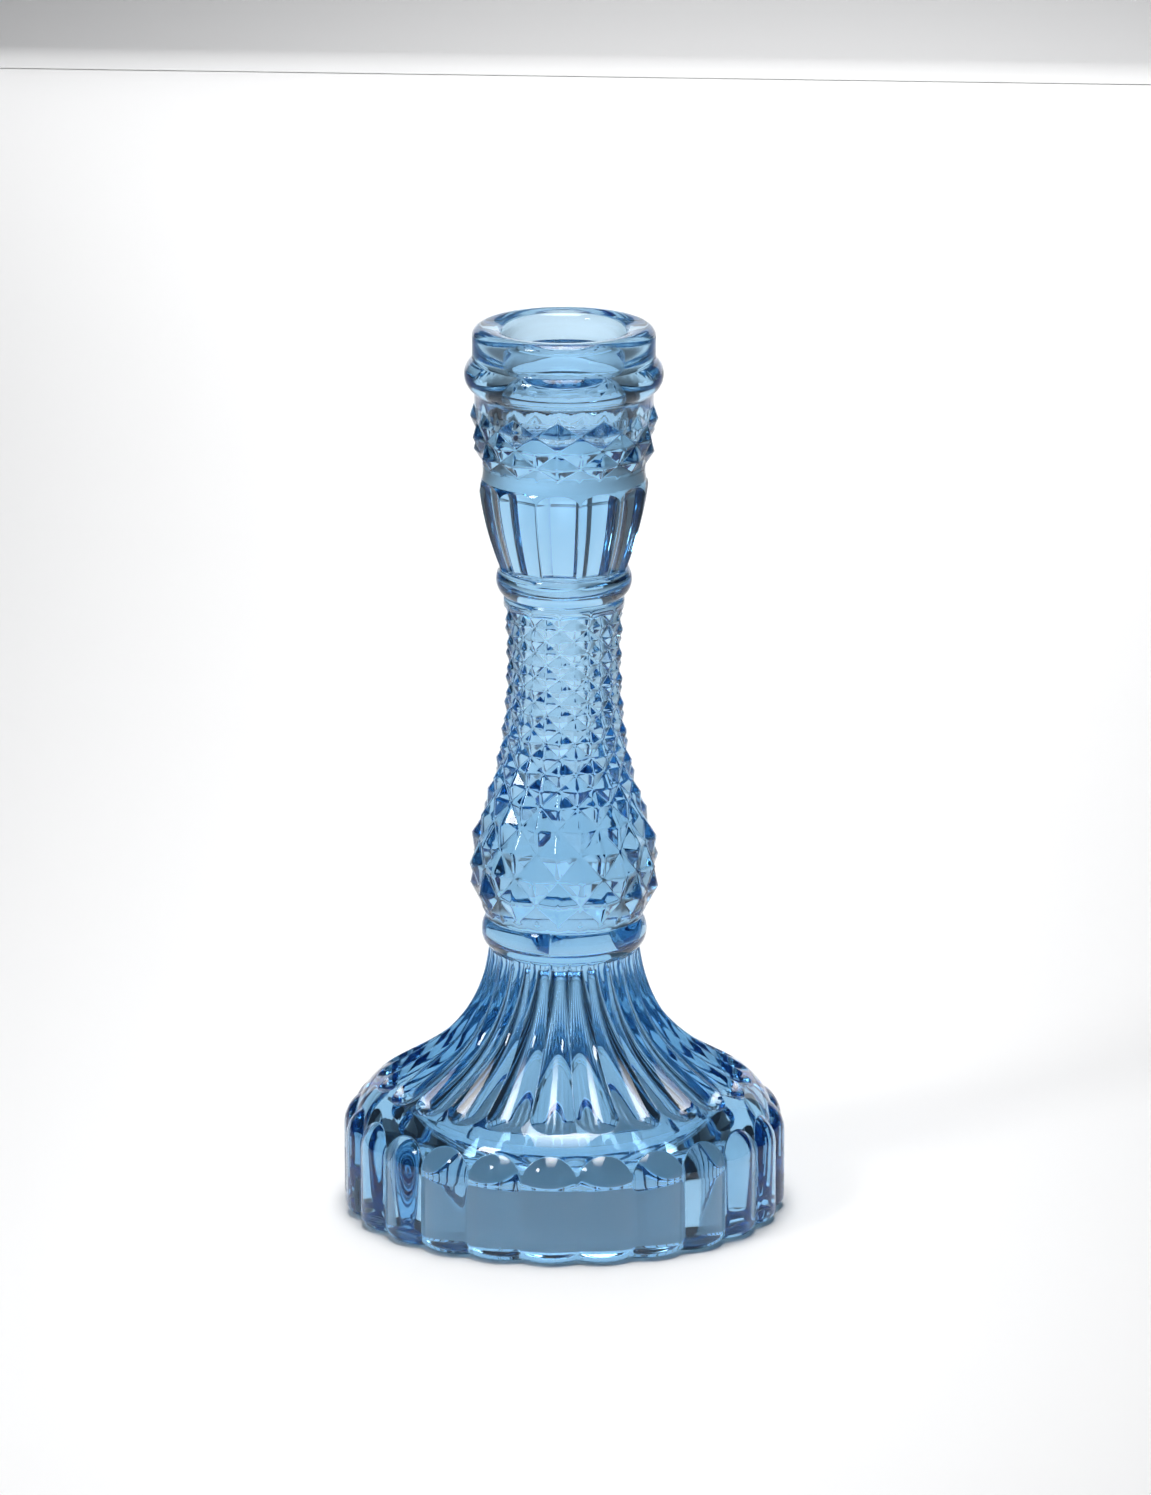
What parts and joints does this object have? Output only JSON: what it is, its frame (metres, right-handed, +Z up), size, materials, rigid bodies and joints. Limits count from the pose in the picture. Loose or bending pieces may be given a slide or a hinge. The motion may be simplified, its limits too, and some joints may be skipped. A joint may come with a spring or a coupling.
{
  "type": "glass candlestick",
  "caption": "Pressed-glass candlestick with a beaded socket, a diamond-studded baluster stem, a fluted skirt and a lobed foot.",
  "frame": {"origin": "centre of the plane that the foot stands on", "axes": "+Z up along the axis of the candle socket; -Y through the middle of a lobe of the foot and a flute of the cup"},
  "size_m": [0.082, 0.082, 0.1672],
  "materials": {
    "blue_glass": "clear mid-blue pressed glass, fire-polished"
  },
  "bodies": {
    "root": {"socket_lip": "blue_glass", "rim_bead": "blue_glass", "studded_band": "blue_glass", "fluted_cup": "blue_glass", "upper_collar": "blue_glass", "diamond_waist": "blue_glass", "diamond_bulb": "blue_glass", "lower_collar": "blue_glass", "fluted_skirt": "blue_glass", "lobed_foot": "blue_glass"}
  },
  "joints": []
}
